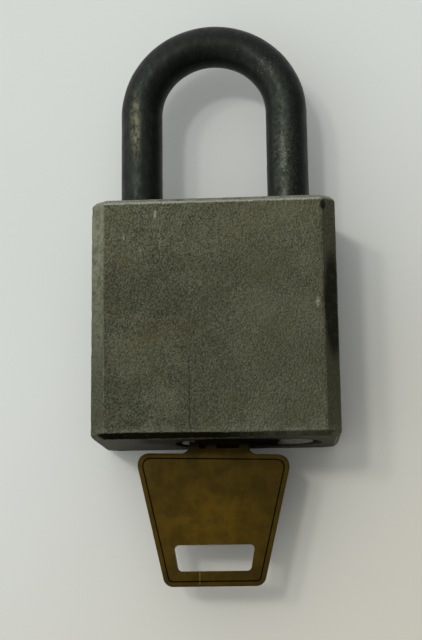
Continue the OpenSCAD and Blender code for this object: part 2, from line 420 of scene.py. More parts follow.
def wave(point, length):
    return 0.5 + noise.noise(point / length)


def wear_edges(bm, slow, knocks):
    bm.normal_update()
    moves = []
    for vert in bm.verts:
        flats = [face.normal.copy() for face in vert.link_faces if face.calc_area() > large_face]
        size = slow * wave(vert.co, body_wave) + knock_depth(vert.co, knocks)
        move = -vert.normal * max(size, 0)
        for normal in flats:
            move -= normal * move.dot(normal)
        if len(flats) < 3:
            moves.append((vert, move))
    for vert, move in moves:
        vert.co += move


cut_long_edges(blank, longest=8 * mm, pitch=0.8 * mm)
print("edges cut for wear:", len(blank.verts), "vertices")

# %% [markdown]
# ## Knocks
#
# A lock that hangs on a gate is knocked where it sticks out, so the knocks are scattered along the
# front's long edges and its two ends. The random numbers have a fixed seed, so every run gives the same
# lock.

# %% Knock the body
knock_count = 70
end_share = 0.45
knock_widths, knock_depths = (0.4, 1.2), (0.03, 0.13)
body_wear = 0.035 * mm

luck = random.Random(7)
body_knocks = []
for _ in range(knock_count):
    side = luck.choice((-1, 1))
    along = luck.uniform(key_end, top_end)
    edge_x = side * luck.choice((body_high.x, body_high.x - bevel_w))
    if luck.random() < end_share:
        edge_x = luck.uniform(body_low.x, body_high.x)
        along = luck.choice((key_end, key_end, top_end))
    height = body_high.z if abs(edge_x) < body_high.x - 1 * mm else body_high.z - bevel_d
    body_knocks.append((Vector((edge_x, along, height)), luck.uniform(*knock_widths) * mm,
                        luck.uniform(*knock_depths) * mm))
wear_edges(blank, body_wear, body_knocks)
body_piece = piece_from(blank, "body_steel_block")
print("worn body:", len(body_piece.data.polygons), "faces")


# %% [markdown]
# ## Cutting one piece with another
#
# A hole is cut by a Boolean modifier and a tool of the hole's shape, which is thrown away afterwards. The
# modifier is applied by reading the evaluated mesh. Where a cut is darkened, with dirt in the border and
# painted shade in the grooves, its faces go to a second material slot: a face that lies on the tool's
# surface was made by the cut.

# %% Tools for cutting
on_the_tool = 0.03 * mm


def combine(piece, tool, operation="DIFFERENCE", sharp=30, slot=None):
    modifier = piece.modifiers.new(operation.lower(), "BOOLEAN")
    modifier.object = tool
    modifier.operation = operation
    modifier.solver = "EXACT"
    shown = piece.evaluated_get(bpy.context.evaluated_depsgraph_get())
    mesh = bpy.data.meshes.new_from_object(shown)
    piece.modifiers.remove(modifier)
    old = piece.data
    piece.data = mesh
    mesh.name = old.name
    bpy.data.meshes.remove(old)
    if slot is not None:
        mark_cut(mesh, tool, slot)
    bpy.data.objects.remove(tool)
    shade(piece, sharp)


def mark_cut(mesh, tool, slot):
    surface = BVHTree.FromObject(tool, bpy.context.evaluated_depsgraph_get())
    mesh.calc_loop_triangles()
    untouched = {part.polygon_index for part in mesh.loop_triangles
                 if surface.find_nearest(part.center)[3] > on_the_tool}
    for face in mesh.polygons:
        if face.index not in untouched:
            face.material_index = slot


print("a face within", round(on_the_tool / mm, 2), "mm of the tool counts as cut")


# %% [markdown]
# ## The pocket for the cylinder
#
# The lock's cylinder is pear-shaped in section: a large circle for the plug and a smaller lobe for the
# pins. The outline is two arcs, each made by spinning one vertex, and two straight edges that touch both
# arcs. It is filled and extruded to the pocket's depth.

# %% Pear-shaped pocket
pear_main_r, pear_lobe_r, pear_reach = 9.0 * mm, 6.5 * mm, 15.1 * mm
pocket_depth = 28.1 * mm


def pear_prism(name, y0, y1):
    lean = math.asin((pear_main_r - pear_lobe_r) / pear_reach)
    bm = bmesh.new()
    ends = []
    for x, radius, side in ((0, pear_main_r, -1), (pear_reach, pear_lobe_r, 1)):
        start = bm.verts.new((x + radius * math.sin(lean), y0, mid_z - side * radius * math.cos(lean)))
        result = bmesh.ops.spin(bm, geom=[start], cent=(x, y0, mid_z), axis=(0, -1, 0),
                                angle=math.pi - side * 2 * lean, steps=40, use_duplicate=False)
        ends.append((start, verts_of(result["geom_last"])[0]))
    bm.edges.new((ends[0][1], ends[1][0]))
    bm.edges.new((ends[1][1], ends[0][0]))
    section = bmesh.ops.contextual_create(bm, geom=bm.edges)["faces"]
    grown = bmesh.ops.extrude_face_region(bm, geom=section)
    bmesh.ops.translate(bm, verts=verts_of(grown["geom"]), vec=(0, y1 - y0, 0))
    return piece_from(bm, name)


combine(body_piece, pear_prism("pocket", key_end - mm, key_end + pocket_depth))
print("body with its pocket:", len(body_piece.data.polygons), "faces")


# %% [markdown]
# ## The holes for the legs
#
# The long leg's hole is deep, so that the shackle can rise and still be held. The short leg's hole ends
# above the cylinder's lobe. Both have a small chamfer at the mouth, so each is a profile that is spun
# round, which cuts the hole and the chamfer at once.

# %% Tools for the leg holes
leg_bore_r, mouth = rod_r + 0.2 * mm, 0.45 * mm
heel_floor, toe_floor = 3.1 * mm, 33.3 * mm


def bore_with_mouth(name, x, radius, floor_y):
    profile = [(0, floor_y), (radius, floor_y), (radius, top_end - mouth),
               (radius + 2 * mouth, top_end + mouth), (0, top_end + mouth)]
    bm = bmesh.new()
    points = [bm.verts.new((x + r, y, mid_z)) for r, y in profile]
    edges = [bm.edges.new(pair) for pair in zip(points, points[1:])]
    bmesh.ops.spin(bm, geom=points + edges, cent=(x, 0, mid_z), axis=(0, 1, 0), angle=2 * math.pi,
                   steps=64, use_merge=True)
    return piece_from(bm, name)


leg_bores = [bore_with_mouth("heel bore", -leg_x, leg_bore_r, key_end + heel_floor),
             bore_with_mouth("toe bore", leg_x, leg_bore_r, key_end + toe_floor)]
print("leg holes:", round(2 * leg_bore_r / mm, 1), "mm wide for a rod of", round(2 * rod_r / mm, 1), "mm")


# %% [markdown]
# ## The small bores
#
# Behind the pocket is the drum's bore. A cross hole joins the two legs' holes and holds the locking
# balls, and small holes take the screw and the retaining pin. All of these are plain round holes, so
# their tools are rods: a rod is a cone operator with two equal radii, turned and moved in the mesh. The
# holes for the legs are cut with them.

# %% Bore the body
drum_bore_r, drum_bore_top = 7.15 * mm, 45.9 * mm
ball_bore_r, ball_up = 3.3 * mm, 41.1 * mm
screw_r, screw_up = 1.65 * mm, 27 * mm
screw_head_r, screw_head_up = 3.0 * mm, 30.5 * mm
retainer_r, retainer_up, retainer_x = 1.55 * mm, 31.5 * mm, -6 * mm


def rod(name, radius, start, end, segments=48):
    start, end = Vector(start), Vector(end)
    run = end - start
    place = Matrix.Translation((start + end) / 2) @ run.to_track_quat("Z", "Y").to_matrix().to_4x4()
    bm = bmesh.new()
    bmesh.ops.create_cone(bm, cap_ends=True, segments=segments, radius1=radius, radius2=radius,
                          depth=run.length, matrix=place)
    return piece_from(bm, name)


def inside(x, up):
    return (x, key_end + up, mid_z)


bores = [
    rod("drum bore", drum_bore_r, inside(0, pocket_depth - mm), inside(0, drum_bore_top)),
    *leg_bores,
    rod("ball hole", ball_bore_r, inside(-leg_x + 2 * mm, ball_up), inside(leg_x - 2 * mm, ball_up)),
    rod("screw hole", screw_r, inside(leg_x, screw_up), inside(leg_x, screw_head_up + mm)),
    rod("screw head hole", screw_head_r, inside(leg_x, screw_head_up), inside(leg_x, toe_floor + mm)),
    rod("retainer hole", retainer_r, inside(-leg_x + 2 * mm, retainer_up), inside(retainer_x, retainer_up)),
]
for bore in bores:
    combine(body_piece, bore)
keep_flats_flat(body_piece)
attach(body_piece, "case")
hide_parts("body")
print("bored body:", len(body_piece.data.polygons), "faces")


# %% [markdown]
# ## The body's finish: how near is an edge?
#
# The block has a grey-olive phosphate finish, a thin layer of small crystals that is rubbed through to
# bright steel along the edges. The distance from a point to each edge is measured from mirrored Object
# coordinates, so one group of nodes serves every edge of a kind. It is divided by how wide the wear
# along that edge is. Sizes for the masks are in millimetres, as the coordinates are.

# %% Distances to the edges
def nearest_edge(material, where, keep, edges):
    distances = []
    for point, width in edges:
        kept = add(material, "VectorMath", {0: where, 1: keep}, operation="MULTIPLY").outputs[0]
        apart = add(material, "VectorMath", {0: kept, 1: point}, operation="DISTANCE").outputs["Value"]
        distances.append(calc(material, "DIVIDE", apart, width))
    return calc(material, "MINIMUM", *distances)


half = (body_high - body_low) / 2 / mm
bev_w, bev_d, chamfer = bevel_w / mm, bevel_d / mm, end_chamfer / mm
long_edges = [((half.x - bev_w, 0, half.z), 0.11), ((half.x, 0, half.z - bev_d), 0.2)]
side_edges = [((half.x - chamfer, half.y, 0), 0.25), ((half.x, half.y - chamfer, 0), 0.25)]
end_edges = [((0, -half.y, half.z - chamfer), 0.1), ((0, half.y - chamfer, half.z), 0.3),
             ((0, half.y, half.z - chamfer), 0.3)]

phosphate = new_material("phosphated steel")
where = place_mm(phosphate)
axes = add(phosphate, "SeparateXYZ", {0: where}).outputs
centred = place_mm(phosphate, centre=(0, 0, mid_z / mm))
folded = add(phosphate, "VectorMath", {0: centred}, operation="ABSOLUTE").outputs[0]
off_middle = calc(phosphate, "ABSOLUTE", calc(phosphate, "SUBTRACT", axes["Z"], mid_z / mm))
lifted = add(phosphate, "CombineXYZ", {"Y": axes["Y"], "Z": off_middle}).outputs[0]
long_near = nearest_edge(phosphate, folded, (1, 0, 1), long_edges)
side_near = nearest_edge(phosphate, folded, (1, 1, 0), side_edges)
end_near = nearest_edge(phosphate, lifted, (0, 1, 1), end_edges)
print("edge distances:", len(phosphate.node_tree.nodes), "nodes")


# %% [markdown]
# ## Where the steel is bare, and painted glints
#
# Wear has a ragged rim, so noise is added to each distance before the soft step. Away from the edges
# there are four nicks, one light line and tiny painted glints, specks of painted highlight. An oval is a
# round mask in stretched coordinates, and a line is a narrow box mask.

# %% Bare steel
def oval(material, centre, radius, soft=0.5, stretch=(1, 1, 1)):
    centre = tuple(factor * middle for factor, middle in zip(stretch, centre))
    apart = add(material, "VectorMath", {0: place_mm(material, stretch), 1: centre},
                operation="DISTANCE").outputs["Value"]
    return step(material, apart, radius, radius * soft)


def line(material, axes, x, y, half_length, half_width):
    off_x = calc(material, "ABSOLUTE", calc(material, "SUBTRACT", axes["X"], x))
    off_y = calc(material, "ABSOLUTE", calc(material, "SUBTRACT", axes["Y"], y))
    inside_x = step(material, off_x, half_width, half_width * 0.3)
    return product(material, inside_x, step(material, off_y, half_length, half_length * 0.8))


nick_marks = ((-11.9, 21.5, 0.4), (-18.4, 16.8, 0.3), (-15.0, 13.9, 0.3), (21.2, 2.4, 0.6))
edge_wear = ((long_near, 2.3, 1.2, 0.45), (side_near, 2.2, 1.2, 0.5), (end_near, 2.6, 1.3, 0.95))

ragged = speckle(phosphate, where, 0.7, detail=6, roughness=0.7)
uneven = product(phosphate, ragged, 2.0)
bare_and_glint_places = [step(phosphate, calc(phosphate, "ADD", near, uneven), start, end, 0, most)
               for near, start, end, most in edge_wear]
# painted glints: tiny specks of painted highlight, laid on in the bare steel's colour
painted_glints = speckle(phosphate, where, 1.7, detail=3, roughness=0.6)
bare_and_glint_places.append(step(phosphate, painted_glints, 0.68, 0.78, 0, 0.35))
light_line = line(phosphate, axes, -10.9, 16.7, half_length=2.5, half_width=0.12)
bare_and_glint_places.append(product(phosphate, light_line, 0.25))
for x, y, radius in nick_marks:
    nick = oval(phosphate, (x, y, body_high.z / mm), radius, stretch=(1, 0.4, 1))
    bare_and_glint_places.append(product(phosphate, nick, step(phosphate, ragged, 0.35, 0.6, 0, 0.6)))
bare_and_glints = calc(phosphate, "MAXIMUM", *bare_and_glint_places)
print("masks of bare steel:", len(bare_and_glint_places))


# %% [markdown]
# ## The phosphate's colour
#
# Close to, the finish is a mix of dark pores and lighter crystals. From farther off it has clouds and some
# brown tint. It is painted lighter towards the right, a painted lightening that evens out the lamps'
# stronger sheen on the left, and it is lighter towards the top. Each of these is a layer over the one
# before.

# %% Phosphate colour
light_grain = step(phosphate, speckle(phosphate, where, 2.9, detail=5, roughness=0.65), 0.36, 0.64)
cloud = speckle(phosphate, where, 0.11, detail=5, roughness=0.6)
tint = speckle(phosphate, place_mm(phosphate, centre=(40, 0, 0)), 0.16, detail=4, roughness=0.6)
upper = step(phosphate, axes["Y"], 2, 24, 0, 0.5)
finish = blend(phosphate, light_grain, rgb(46, 47, 36), rgb(88, 89, 72))
finish = cover(phosphate, finish, [
    (step(phosphate, cloud, 0.58, 0.38, 0, 0.3), rgb(42, 43, 33)),
    (step(phosphate, cloud, 0.48, 0.7, 0, 0.32), rgb(90, 89, 70)),
    (step(phosphate, tint, 0.45, 0.7, 0, 0.35), rgb(68, 62, 42)),
    # painted lightening: lighter to the right, to even out the lamps' stronger sheen on the left
    (step(phosphate, axes["X"], -22, 22, 0, 0.3), rgb(84, 84, 66)),
    (product(phosphate, upper, light_grain), rgb(96, 95, 75))])
print("phosphate colour:", len(phosphate.node_tree.nodes), "nodes")


# %% [markdown]
# ## Rubbed and lit places and the scratch
#
# The left bevel is painted paler, partly rubbed wear and partly a painted highlight from the light on the
# left. Both ends of the front are paler too: the foot is rubbed, and the top edge is partly rubbed and
# partly a painted reflection of the bright side beyond it. These masks are cut off behind the front face,
# because the sides are not rubbed. One long dark scratch runs up from the foot.

# %% Rubbed phosphate
front_z = 2 * half.z
front = step(phosphate, axes["Z"], front_z - bev_d - 0.5, front_z - bev_d + 0.2)
low_end = product(phosphate, axes["Y"], -1)
# partly a painted highlight: the left bevel is painted paler for the light from the left, partly rubbed wear
left_bevel_rub_and_light = product(phosphate, front,
                     step(phosphate, axes["X"], bev_w - half.x + 0.1, bev_w - half.x - 0.3),
                     step(phosphate, axes["Y"], -0.8 * half.y, 0.8 * half.y, 0.1, 1),
                     step(phosphate, ragged, 0.35, 0.6, 0.3, 1))
foot_rub = product(phosphate, front,
                   step(phosphate, low_end, half.y - chamfer - 1.8, half.y - chamfer),
                   step(phosphate, ragged, 0.4, 0.62, 0, 0.7))
# partly a painted reflection: the top edge is painted pale for the bright side it mirrors, partly rubbed
# wear
top_rub_and_highlight = product(phosphate, front,
                  step(phosphate, axes["Y"], half.y - 1.1 * chamfer, half.y - 0.8 * chamfer),
                  step(phosphate, ragged, 0.36, 0.56, 0.2, 0.9))
scratch = line(phosphate, axes, -5.1, -15.6, half_length=8.3, half_width=0.16)
finish = cover(phosphate, finish, [
    (left_bevel_rub_and_light, rgb(116, 117, 98)),
    (foot_rub, rgb(104, 104, 86)),
    (top_rub_and_highlight, rgb(132, 132, 116)),
    (product(phosphate, scratch, 0.6), rgb(30, 30, 24))])
print("rubbed places and scratch:", len(phosphate.node_tree.nodes), "nodes")


# %% [markdown]
# ## Dirt and painted shade on the body
#
# The end face is painted darker and warmer all over, a painted shade, and around the keyway it is painted
# near black, the shade of the key and its bow, with some grease. The foot chamfer is made near black too,
# darkest on the left. The right bevel has a stain with a small mark above it. Where the near-black marks
# lie, the shader's Metallic falls. Constant values are set on the shader's own sockets.

# %% Dirty phosphate
torn_end = calc(phosphate, "ADD", low_end, product(phosphate, ragged, 0.8),
                step(phosphate, axes["X"], 5, -10, 0, 0.15))
# the foot chamfer is made near black, darkest on the left
foot_chamfer = product(phosphate,
                       step(phosphate, torn_end, half.y - 0.85 * chamfer, half.y - 0.65 * chamfer),
                       step(phosphate, axes["Z"], front_z - 1.3 * chamfer, front_z - 1.0 * chamfer),
                       step(phosphate, axes["X"], 16, 0, 0.6, 0.97))
# painted shade: near black around the keyway, the shade of the key and its bow, with some grease
around_key = product(phosphate,
                     oval(phosphate, (3.53, 0, mid_z / mm), 14, stretch=(0.85, 0, 1)),
                     step(phosphate, low_end, half.y - 0.5, half.y - 0.1),
                     step(phosphate, ragged, 0.25, 0.6, 0.5, 1))
dark_foot_and_key_shade = calc(phosphate, "MAXIMUM", foot_chamfer, around_key)
stain_patch = oval(phosphate, (24.6, 1.8, 22.8), 3.0, soft=0.6, stretch=(1, 0.22, 1))
corner_mark = oval(phosphate, (22.9, 22.7, 23.8), 0.9, stretch=(1, 0.6, 1))
stain = product(phosphate, calc(phosphate, "MAXIMUM", stain_patch, corner_mark),
                step(phosphate, ragged, 0.2, 0.5, 0.3, 1), 0.85)
bare_and_glints = product(phosphate, bare_and_glints, step(phosphate, around_key, 0, 0.6, 1, 0.1))
finish = cover(phosphate, finish, [
    # painted shade: the whole end face is painted darker and warmer
    (step(phosphate, low_end, half.y - 0.3, half.y, 0, 0.45), rgb(34, 28, 8)),
    (dark_foot_and_key_shade, rgb(9, 8, 4)),
    (stain, rgb(18, 17, 10)),
    (bare_and_glints, rgb(138, 137, 124))])
pebbles = speckle(phosphate, where, 2.3, detail=3, roughness=0.55)
feed(phosphate,
     Base_Color=finish,
     Metallic=step(phosphate, dark_foot_and_key_shade, 0, 1, 0.8, 0.2),
     Specular_IOR_Level=0.0,
     Roughness=step(phosphate, bare_and_glints, 0, 1, 0.56, 0.36),
     Normal=raised(phosphate, pebbles, 0.3 * mm))
body_piece.data.materials.append(phosphate)


# %% [markdown]
# ## The shackle's legs
#
# The shackle is one round steel rod. Its short leg ends in a chamfer, and its long one has a neck, where
# the retaining pin holds it, and a collar. A leg grows from a ring of edges, which is extruded, scaled
# to the next radius and moved, ring by ring, so that the rod has enough vertices to carry shallow dents.

# %% Grow a leg
heel_neck_r = 3 * mm
collar_r = rod_r - 0.05 * mm
collar_y, collar_top_y = key_end + 9.9 * mm, key_end + 12.9 * mm
collar_chamfer, toe_chamfer = 0.3 * mm, 0.8 * mm
neck_top_y = key_end + 33.2 * mm
toe_end_y = key_end + 34.1 * mm
ring_pitch = 0.8 * mm


def grow_leg(bm, ring, x, stations):
    for y, radius in stations:
        result = bmesh.ops.extrude_edge_only(bm, edges=ring)
        verts = verts_of(result["geom"])
        ring = [edge for edge in edges_of(result["geom"]) if all(vert in verts for vert in edge.verts)]
        centre = Vector((x, verts[0].co.y, mid_z))
        factor = radius / (verts[0].co - centre).length
        bmesh.ops.scale(bm, verts=verts, vec=(factor, 1, factor), space=Matrix.Translation(-centre))
        bmesh.ops.translate(bm, verts=verts, vec=(0, y - centre.y, 0))
    bmesh.ops.contextual_create(bm, geom=ring)


def down(start, end, radius):
    steps = max(1, round(abs(end - start) / ring_pitch))
    return [(start + (end - start) * i / steps, radius) for i in range(1, steps + 1)]


print("rings down the toe leg:", len(down(bend_y, toe_end_y + toe_chamfer, rod_r)))


# %% [markdown]
# ## The shackle: a bent rod
#
# The real rod is bent round a form, and so is this one: a circle is spun half a turn about the middle of
# the bend. The two legs then grow from its open ends.

# %% Bend the rod
def shackle_blank():
    bm = bmesh.new()
    turned = Matrix.Translation((leg_x, bend_y, mid_z)) @ Matrix.Rotation(math.pi / 2, 4, "X")
    bmesh.ops.create_circle(bm, segments=48, radius=rod_r, matrix=turned)
    first = bm.edges[:]
    result = bmesh.ops.spin(bm, geom=bm.verts[:] + first, cent=(0, bend_y, mid_z), axis=(0, 0, 1),
                            angle=math.pi, steps=72, use_duplicate=False)
    grow_leg(bm, first, leg_x,
             down(bend_y, toe_end_y + toe_chamfer, rod_r) + [(toe_end_y, rod_r - toe_chamfer)])
    grow_leg(bm, edges_of(result["geom_last"]), -leg_x,
             down(bend_y, neck_top_y, rod_r) + [(neck_top_y, heel_neck_r)]
             + down(neck_top_y, collar_top_y, heel_neck_r) + [(collar_top_y, collar_r)]
             + down(collar_top_y, collar_y + collar_chamfer, collar_r)
             + [(collar_y, collar_r - collar_chamfer)])
    bmesh.ops.recalc_face_normals(bm, faces=bm.faces)
    return bm


rod_bm = shackle_blank()
print("bent rod:", len(rod_bm.faces), "faces")


# %% [markdown]
# ## Dents in the shackle
#
# Chains and tools dent the bend. Each of the rod's vertices outside the body moves inwards by a slow wave
# and by the deepest knock that reaches it, which together is little more than a tenth of a millimetre.

# %% Dent the rod
rod_wave = 4.3 * mm
rod_wear = 0.03 * mm
dent_count = 26
dent_widths, dent_depths = (0.9, 2.0), (0.03, 0.09)


def dent_rod(bm, slow, knocks):
    bm.normal_update()
    for vert in bm.verts:
        if vert.co.y > top_end:
            size = slow * wave(vert.co, rod_wave) + knock_depth(vert.co, knocks)
            vert.co -= vert.normal * max(size, 0)


rod_knocks = []
for _ in range(dent_count):
    turn = luck.uniform(0, math.pi)
    around = luck.uniform(-0.9, 0.9)
    reach = leg_x + rod_r * math.sin(around)
    height = mid_z + rod_r * math.cos(around)
    point = Vector((reach * math.cos(turn), bend_y + reach * math.sin(turn), height))
    rod_knocks.append((point, luck.uniform(*dent_widths) * mm, luck.uniform(*dent_depths) * mm))
dent_rod(rod_bm, rod_wear, rod_knocks)
shackle_piece = piece_from(rod_bm, "shackle_rod", sharp=35)
print("dents in the rod:", len(rod_knocks))

# %% [markdown]
# ## The notches for the balls
#
# Each leg has a notch that a steel ball locks into. The notch's tool is a sphere with a rod running
# down from it, the way that the ball draws back as the shackle rises.

# %% Notch the legs
ball_low, ball_high = (Vector(corner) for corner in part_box("toe_ball"))
ball_r = (ball_high.z - ball_low.z) / 2
ball_x = (ball_low.x + ball_high.x) / 2
notch_r = ball_r + 0.1 * mm
notch_run = 7 * mm
travel = {joint["name"]: joint.get("range_m") for joint in frame["joints"]}
draw, rise = travel["toe_ball_draw"][1], travel["shackle_rise"][1]
for side in (1, -1):
    centre = Vector(inside(side * ball_x, ball_up))
    back = Vector((-side * draw, -rise, 0)).normalized() * notch_run
    bm = bmesh.new()
    bmesh.ops.create_uvsphere(bm, u_segments=40, v_segments=24, radius=notch_r,
                              matrix=Matrix.Translation(centre))
    notch = piece_from(bm, "notch")
    combine(notch, rod("notch run", notch_r, centre, centre + back, segments=40), "UNION")
    combine(shackle_piece, notch, sharp=35)
keep_flats_flat(shackle_piece)
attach(shackle_piece, "shackle")
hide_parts("shackle")
print("shackle:", len(shackle_piece.data.polygons), "faces")

# %% [markdown]
# ## The shackle's finish
#
# The rod was blackened, and years of chain and hands have rubbed it to brown-grey in patches. Long,
# soft streaks run along the legs, and the sheen is soft. A broad, mottled painted highlight lies on the
# short leg, and the bend is painted darker, a painted shade. Small bright specks are partly chips and partly
# painted glints, thickest on the short leg and the bend. The patches are placed by distance, and noise
# breaks up their rims.

# %% Blackened steel
black = new_material("blackened steel")
where = place_mm(black)
streaks = speckle(black, place_mm(black, (1, 0.35, 1)), 0.9, detail=5, roughness=0.65)
patches = speckle(black, where, 0.16, detail=4, roughness=0.6)
along = add(black, "SeparateXYZ", {0: where}).outputs["Y"]
# painted highlight: a broad, mottled light patch on the short leg
toe_painted_sheen = product(black, oval(black, (14.6, 36, 16.8), 5, soft=0.1, stretch=(1, 0.2, 1)),
                  step(black, speckle(black, where, 1.2, detail=5, roughness=0.7), 0.38, 0.66), 0.45)
torn = speckle(black, place_mm(black, (1, 0.5, 1)), 1.3, detail=6, roughness=0.7)
heel_rub = product(black, oval(black, (-16.9, 44.4, 16.2), 2.2, soft=0.35, stretch=(1.2, 0.22, 1)),
                   step(black, torn, 0.42, 0.56), 0.6)
# partly painted glints: the specks are thicker where the short leg and the bend are lit
struck_and_lit = calc(black, "MAXIMUM", oval(black, (12.4, 57.0, 16.0), 5.0, soft=0.2),
              oval(black, (16.2, 36, 16.5), 4.5, soft=0.2, stretch=(1, 0.3, 1)))
chips_and_glints = calc(black, "ADD", speckle(black, where, 2.8, detail=3, roughness=0.6),
             product(black, struck_and_lit, 0.07))
colour = blend(black, step(black, streaks, 0.35, 0.7), rgb(21, 25, 20), rgb(35, 39, 33))
colour = cover(black, colour, [
    (step(black, patches, 0.52, 0.72, 0, 0.4), rgb(48, 50, 41)),
    (toe_painted_sheen, rgb(70, 74, 65)),
    # painted shade: the bend is painted darker
    (step(black, along, 50, 64, 0, 0.4), rgb(15, 16, 11)),
    (heel_rub, rgb(84, 81, 62)),
    (product(black, step(black, chips_and_glints, 0.64, 0.74), 0.6), rgb(96, 97, 86))])
pits = speckle(black, where, 2.6, detail=4, roughness=0.7)
feed(black,
     Base_Color=colour,
     Metallic=0.85,
     Roughness=step(black, streaks, 0.3, 0.7, 0.5, 0.38),
     Normal=raised(black, calc(black, "ADD", pits, streaks), 0.02 * mm, 0.6))
shackle_piece.data.materials.append(black)


# %% [markdown]
# ## The key: a stamped brass plate
#
# The key is one flat plate with a wide bow, a short neck and a straight blade. Its outline needs only a
# few corners, and the bevel operator rounds each of them as a vertex. The rims are then eased on both
# faces, the way tumbling leaves a stamped key.

# %% Key measures
bow_shift, bow_lean = -1.05 * mm, 0.43 * mm
bow_top_w, bow_end_w, bow_len = 32.8 * mm, 20.2 * mm, 27 * mm
bow_y = key_end - 2.1 * mm
bow_end_y = bow_y - bow_len
bow_end_r, bow_top_r, neck_r = 2 * mm, 2.5 * mm, 1.7 * mm
neck_left, neck_right = -5.97 * mm, 6.41 * mm
spine_x, edge_x = -4.3 * mm, 3.9 * mm
face_y = key_end + 0.3 * mm
shoulder_y = face_y - 0.05 * mm
blade_end_y = face_y + 20.9 * mm
tip_x, tip_slant = -1.5 * mm, 1.3 * mm
first_pin_y, pin_pitch = face_y + 5.2 * mm, 3.2 * mm
first_cut, cut_step, cut_half = 3.3 * mm, 0.6 * mm, 0.6 * mm


def bow_edge_y(x):
    return bow_y - bow_lean * (x - bow_shift) / (bow_top_w / 2)


print("bow:", round(bow_top_w / mm, 1), "mm wide,", round(bow_len / mm, 1), "mm long")


# %% [markdown]
# ## The key's outline
#
# The corners go once round the key: the bow, the shoulder, the cuts that the pins rest in, the tip and
# the straight back. Each has the radius that it is rounded to, and 0 leaves it sharp. A plate is one face
# with those corners, bevelled and then extruded to its thickness.

# %% Key outline
def key_corners():
    yield bow_shift - bow_end_w / 2, bow_end_y, bow_end_r
    yield bow_shift + bow_end_w / 2, bow_end_y, bow_end_r
    yield bow_shift + bow_top_w / 2, bow_edge_y(bow_shift + bow_top_w / 2), bow_top_r
    yield neck_right, bow_edge_y(neck_right), neck_r
    yield neck_right, shoulder_y, 0
    yield edge_x, shoulder_y, 0
    for i in range(5):
        for off_pin in (-cut_half, cut_half):
            yield first_cut - i * cut_step, first_pin_y + i * pin_pitch + off_pin, 0
    yield tip_x, blade_end_y, 0
    yield spine_x + tip_slant, blade_end_y, 0
    yield spine_x, blade_end_y - tip_slant, 0
    yield spine_x, shoulder_y, 0
    yield neck_left, shoulder_y, 0
    yield neck_left, bow_edge_y(neck_left), neck_r
    yield bow_shift - bow_top_w / 2, bow_edge_y(bow_shift - bow_top_w / 2), bow_top_r


def plate(corners, low_z, high_z, ease=0.0):
    bm = bmesh.new()
    corners = list(corners)
    verts = [bm.verts.new((x, y, low_z)) for x, y, _ in corners]
    bm.faces.new(verts)
    for vert, (_, _, radius) in zip(verts, corners):
        if radius:
            before = [edge.other_vert(vert).co - vert.co for edge in vert.link_edges]
            half_angle = before[0].angle(before[1]) / 2
            bmesh.ops.bevel(bm, geom=[vert], offset=radius / math.tan(half_angle), segments=8,
                            profile=0.5, affect="VERTICES", material=-1, clamp_overlap=False)
    bmesh.ops.recalc_face_normals(bm, faces=bm.faces)
    grown = bmesh.ops.extrude_face_region(bm, geom=bm.faces[:])
    bmesh.ops.translate(bm, verts=verts_of(grown["geom"]), vec=(0, 0, high_z - low_z))
    bmesh.ops.recalc_face_normals(bm, faces=bm.faces)
    if ease:
        rims = [edge for edge in bm.edges if abs(edge.verts[0].co.z - edge.verts[1].co.z) < 0.01 * mm]
        round_edges(bm, rims, ease, 2)
    return bm


key_piece = piece_from(plate(key_corners(), key_low.z, key_high.z, ease=0.16 * mm), "key_plate", sharp=40)
print("key plate:", len(key_piece.data.polygons), "faces")

# %% [markdown]
# ## The slot and the engraved border
#
# A ring goes through the slot, which is a little wider towards the neck. A line is engraved a millimetre
# inside the bow's edge, all the way round. Its tool is a thin ring: a smaller copy of the bow's outline,
# inset by the line's place and with its middle taken out. Its floor holds dirt, so it gets the second
# material.

# %% Slot and border
slot_end_half, slot_neck_half, slot_corner_r = 7.45 * mm, 8.4 * mm, 0.9 * mm
slot_low_y, slot_high_y = bow_end_y + 3.1 * mm, bow_end_y + 8.4 * mm
border_in, border_w, border_d, border_r = 0.92 * mm, 0.27 * mm, 0.16 * mm, 1.8 * mm
dirt_and_shade_slot = 1


def slot_corners():
    yield bow_shift - slot_end_half, slot_low_y, slot_corner_r
    yield bow_shift + slot_end_half, slot_low_y, slot_corner_r
    yield bow_shift + slot_neck_half, slot_high_y, slot_corner_r
    yield bow_shift - slot_neck_half, slot_high_y, slot_corner_r


def border_corners(inset, corner_r):
    slant = math.atan((bow_top_w - bow_end_w) / 2 / bow_len)
    top_half = bow_top_w / 2 - inset * (1 / math.cos(slant) + math.tan(slant))
    end_half = bow_end_w / 2 - inset * (1 / math.cos(slant) - math.tan(slant))
    yield bow_shift - end_half, bow_end_y + inset, corner_r / 2
    yield bow_shift + end_half, bow_end_y + inset, corner_r / 2
    yield bow_shift + top_half, bow_edge_y(bow_shift + top_half) - inset, corner_r
    yield bow_shift - top_half, bow_edge_y(bow_shift - top_half) - inset, corner_r


def border_tool():
    low_z, high_z = key_high.z - border_d, key_high.z + mm
    ring = piece_from(plate(border_corners(border_in, border_r), low_z, high_z), "border tool")
    inner = plate(border_corners(border_in + border_w, border_r - border_w), low_z - mm, high_z + mm)
    combine(ring, piece_from(inner, "inside of the border"))
    return ring


slot_tool = piece_from(plate(slot_corners(), key_low.z - mm, key_high.z + mm), "slot tool")
combine(key_piece, slot_tool, sharp=40)
combine(key_piece, border_tool(), sharp=40, slot=dirt_and_shade_slot)
print("key with its slot and border:", len(key_piece.data.polygons), "faces")

# %% [markdown]
# ## The milled grooves
#
# The blade has two milled grooves in its front and one in its back, which let it pass the ridges of the
# keyway. They run out square at the bow, so plain boxes cut them.

# %% Mill the grooves
groove_d = 0.65 * mm
front_floor, back_floor = key_high.z - groove_d, key_low.z - mm + groove_d
grooves = ((-3.96, 1.48, front_floor), (-0.31, 4.71, front_floor), (-2.3, 1.5, back_floor))


